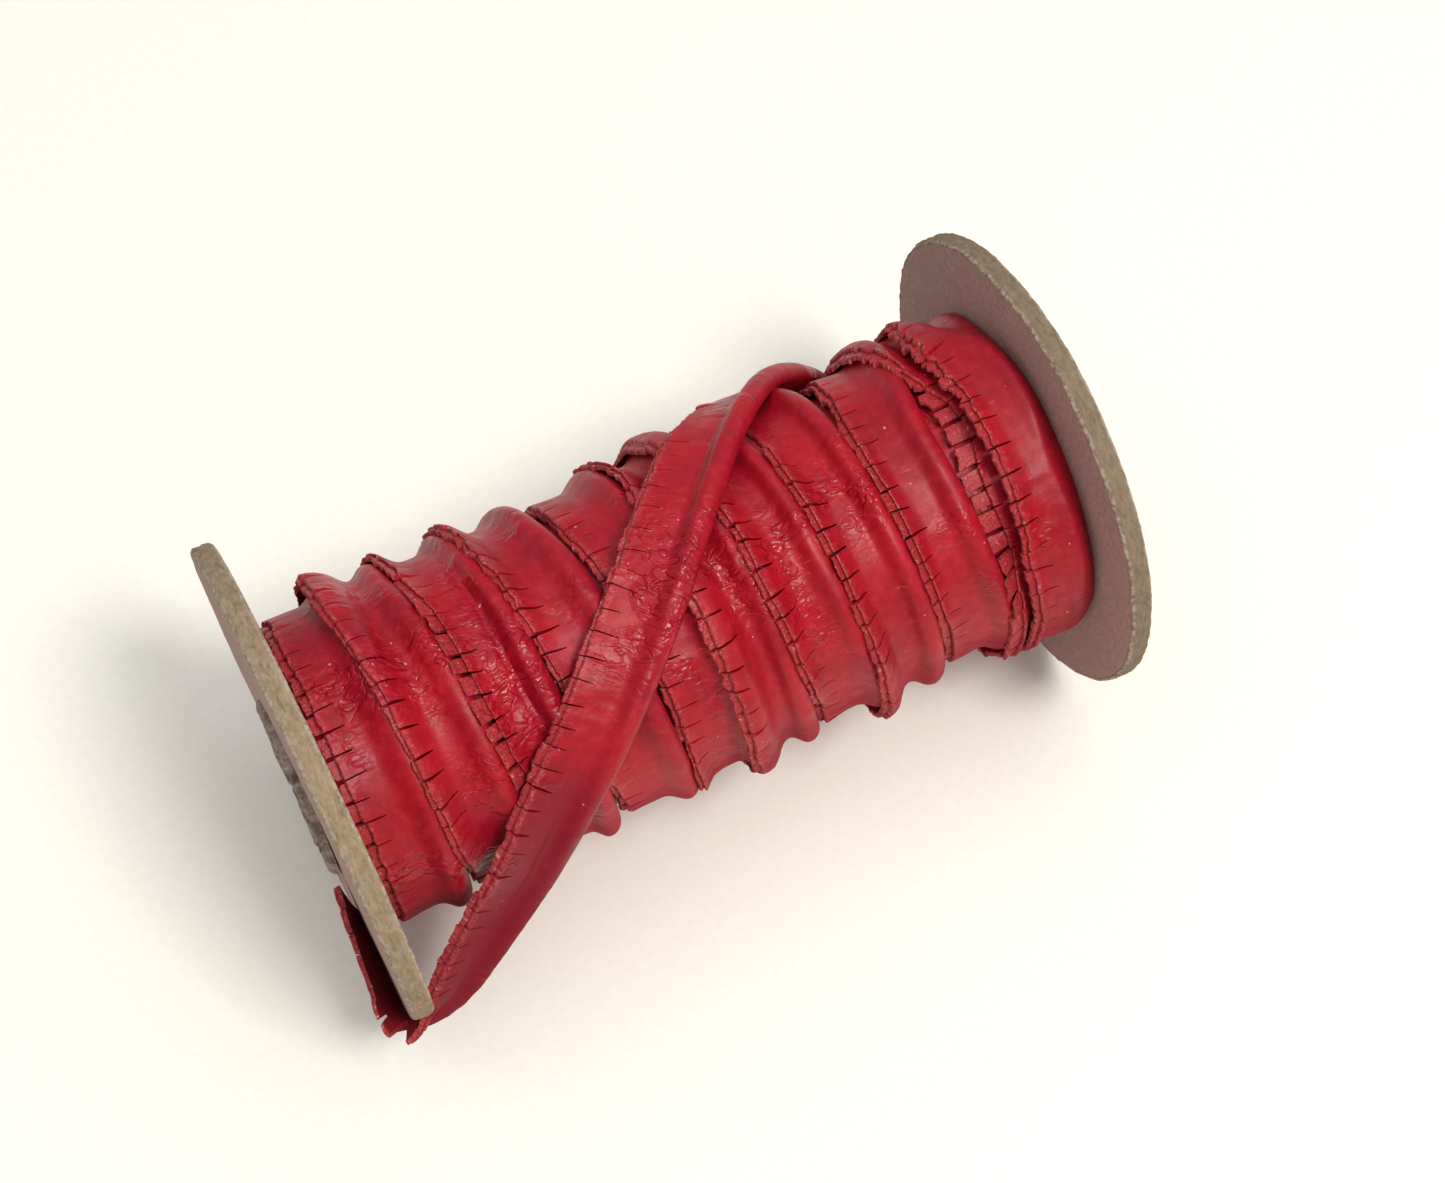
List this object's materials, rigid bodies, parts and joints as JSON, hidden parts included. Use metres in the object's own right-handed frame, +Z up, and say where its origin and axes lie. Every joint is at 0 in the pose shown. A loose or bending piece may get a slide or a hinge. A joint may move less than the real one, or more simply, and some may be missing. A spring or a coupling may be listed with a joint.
{
  "type": "spool of leather piping",
  "caption": "Greyboard spool wound with nicked, corded leather piping; the loose tail is drawn across the winding and round one flange.",
  "frame": {"origin": "under the middle of the spool's axis, on the surface that it rests on, lying on its side", "axes": "+X along the spool's axis, from the disc that the tail goes round to the other disc; +Y to the back; +Z up"},
  "size_m": [0.1113, 0.0642, 0.0638],
  "materials": {
    "greyboard": "matt, fibrous",
    "core_paper": "matt, wound and crimped",
    "tape": "matt",
    "red_leather": "satin, smooth grain"
  },
  "bodies": {
    "root": {"left_disc": "greyboard", "right_disc": "greyboard", "barrel_tube": "core_paper", "core_tube": "core_paper", "start_tape": "tape", "piping_layer_1": "red_leather", "piping_layer_2": "red_leather", "piping_layer_3": "red_leather", "piping_outer_layer": "red_leather", "piping_tail": "red_leather"}
  },
  "joints": []
}
